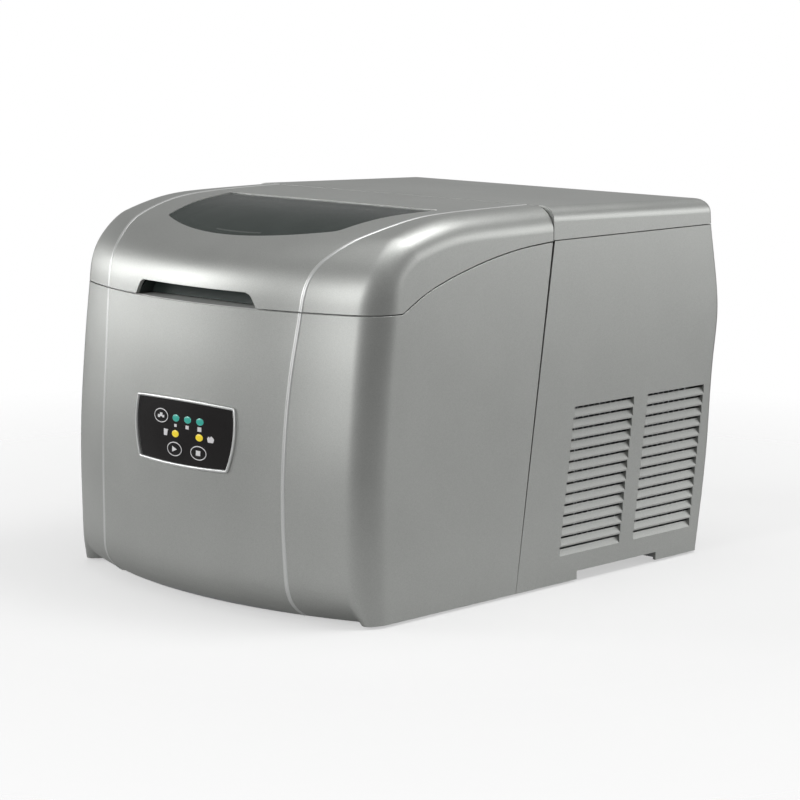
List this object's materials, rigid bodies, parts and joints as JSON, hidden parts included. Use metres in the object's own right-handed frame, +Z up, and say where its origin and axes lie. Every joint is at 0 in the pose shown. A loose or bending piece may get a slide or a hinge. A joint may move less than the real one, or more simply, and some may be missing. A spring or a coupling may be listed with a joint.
{
  "type": "ice maker",
  "caption": "Countertop ice maker: bowed silver housing, hinged lid with a smoked window, push-button panel, louvred sides, ice basket and complete refrigerating works inside.",
  "frame": {"origin": "on the surface the feet stand on, under the middle of the overall box", "axes": "+Z up, front towards -Y, the user's right towards +X; the lid opens upwards about an axis along X"},
  "size_m": [0.36, 0.4684, 0.3151],
  "materials": {
    "silver": "satin silver paint with fine flake",
    "trim": "bright silver",
    "smoked": "smoked clear plastic",
    "dark_plastic": "fine grain",
    "white_plastic": "smooth",
    "grey_plastic": "smooth",
    "panel_black": "gloss",
    "lamp_green": "clear tinted",
    "lamp_yellow": "clear tinted",
    "rubber": "matte",
    "seal": "matte",
    "steel": "zinc plated",
    "board": "solder mask",
    "foam": "closed-cell foam",
    "nickel": "nickel plated copper",
    "copper": "copper",
    "black_paint": "black enamel",
    "aluminium": "thin fins"
  },
  "bodies": {
    "housing": {"housing_trim_left": "trim", "housing_trim_right": "trim", "front_housing": "silver", "rear_housing": "silver", "rear_top_cover": "silver", "recess_cups": "dark_plastic", "base_tray": "steel", "rubber_feet": "rubber", "hinge_brackets": "steel", "hinge_pins": "steel", "panel_bezel": "trim", "panel_overlay": "panel_black", "green_lamps": "lamp_green", "yellow_lamps": "lamp_yellow", "control_board": "board", "compartment_liner": "white_plastic", "liner_insulation": "foam", "compartment_rim": "white_plastic", "tray_bearing": "grey_plastic", "tray_motor": "dark_plastic", "ice_chute": "grey_plastic", "evaporator_plate": "nickel", "evaporator_fingers": "nickel", "compressor": "black_paint", "compressor_grommets": "rubber", "condenser": "aluminium", "fan_shroud": "steel", "fan_motor": "dark_plastic", "suction_tube": "copper", "feed_tube": "copper", "hot_gas_tube": "copper", "filter_drier": "copper", "hot_gas_valve": "steel", "power_board": "board", "water_pump": "dark_plastic", "pump_hose": "seal", "drain_tube": "seal", "drain_spout": "dark_plastic", "power_inlet": "dark_plastic", "ice_full_sensor": "dark_plastic", "float_stem": "white_plastic"},
    "lid": {"lid_shell": "silver", "lid_handle_cup": "dark_plastic", "lid_window": "smoked", "lid_window_frame": "dark_plastic", "lid_inner_panel": "white_plastic", "lid_seal": "seal", "lid_posts": "white_plastic", "lid_knuckles": "white_plastic", "lid_trim_left": "trim", "lid_trim_right": "trim"},
    "select_button": {"select_button": "panel_black"},
    "start_button": {"start_button": "panel_black"},
    "stop_button": {"stop_button": "panel_black"},
    "basket": {"ice_basket": "grey_plastic"},
    "tray": {"water_tray": "white_plastic"},
    "shovel": {"ice_shovel": "white_plastic"},
    "fan": {"fan_rotor": "dark_plastic"},
    "drain_plug": {"drain_plug": "rubber"},
    "float": {"float_ring": "white_plastic"}
  },
  "joints": [
    {"name": "lid_hinge", "type": "hinge", "parent": "housing", "child": "lid", "pos_m": [0, 0.01, 0.3097], "axis": [-1, 0, 0], "range_deg": [0, 78]},
    {"name": "select_press", "type": "slide", "parent": "housing", "child": "select_button", "axis": [0, 1, 0], "range_m": [0, 0.001], "stiffness_N_per_m": 400},
    {"name": "start_press", "type": "slide", "parent": "housing", "child": "start_button", "axis": [0, 1, 0], "range_m": [0, 0.001], "stiffness_N_per_m": 400},
    {"name": "stop_press", "type": "slide", "parent": "housing", "child": "stop_button", "axis": [0, 1, 0], "range_m": [0, 0.001], "stiffness_N_per_m": 400},
    {"name": "basket_lift", "type": "slide", "parent": "housing", "child": "basket", "axis": [0, 0, 1], "range_m": [0, 0.08]},
    {"name": "tray_tilt", "type": "hinge", "parent": "housing", "child": "tray", "pos_m": [0, -0.02, 0.203], "axis": [1, 0, 0], "range_deg": [0, 86]},
    {"name": "shovel_swing", "type": "hinge", "parent": "housing", "child": "shovel", "pos_m": [0, 0.002, 0.166], "axis": [-1, 0, 0], "range_deg": [0, 60]},
    {"name": "fan_spin", "type": "hinge", "parent": "housing", "child": "fan", "pos_m": [0.117, 0.125, 0.092], "axis": [1, 0, 0], "continuous": true},
    {"name": "plug_pull", "type": "slide", "parent": "housing", "child": "drain_plug", "axis": [0, 1, 0], "range_m": [0, 0.012]},
    {"name": "float_rise", "type": "slide", "parent": "housing", "child": "float", "axis": [0, 0, 1], "range_m": [0, 0.02]}
  ],
  "couplings": [
    {"joint": "shovel_swing", "follows": "tray_tilt", "ratio": 0.69}
  ]
}
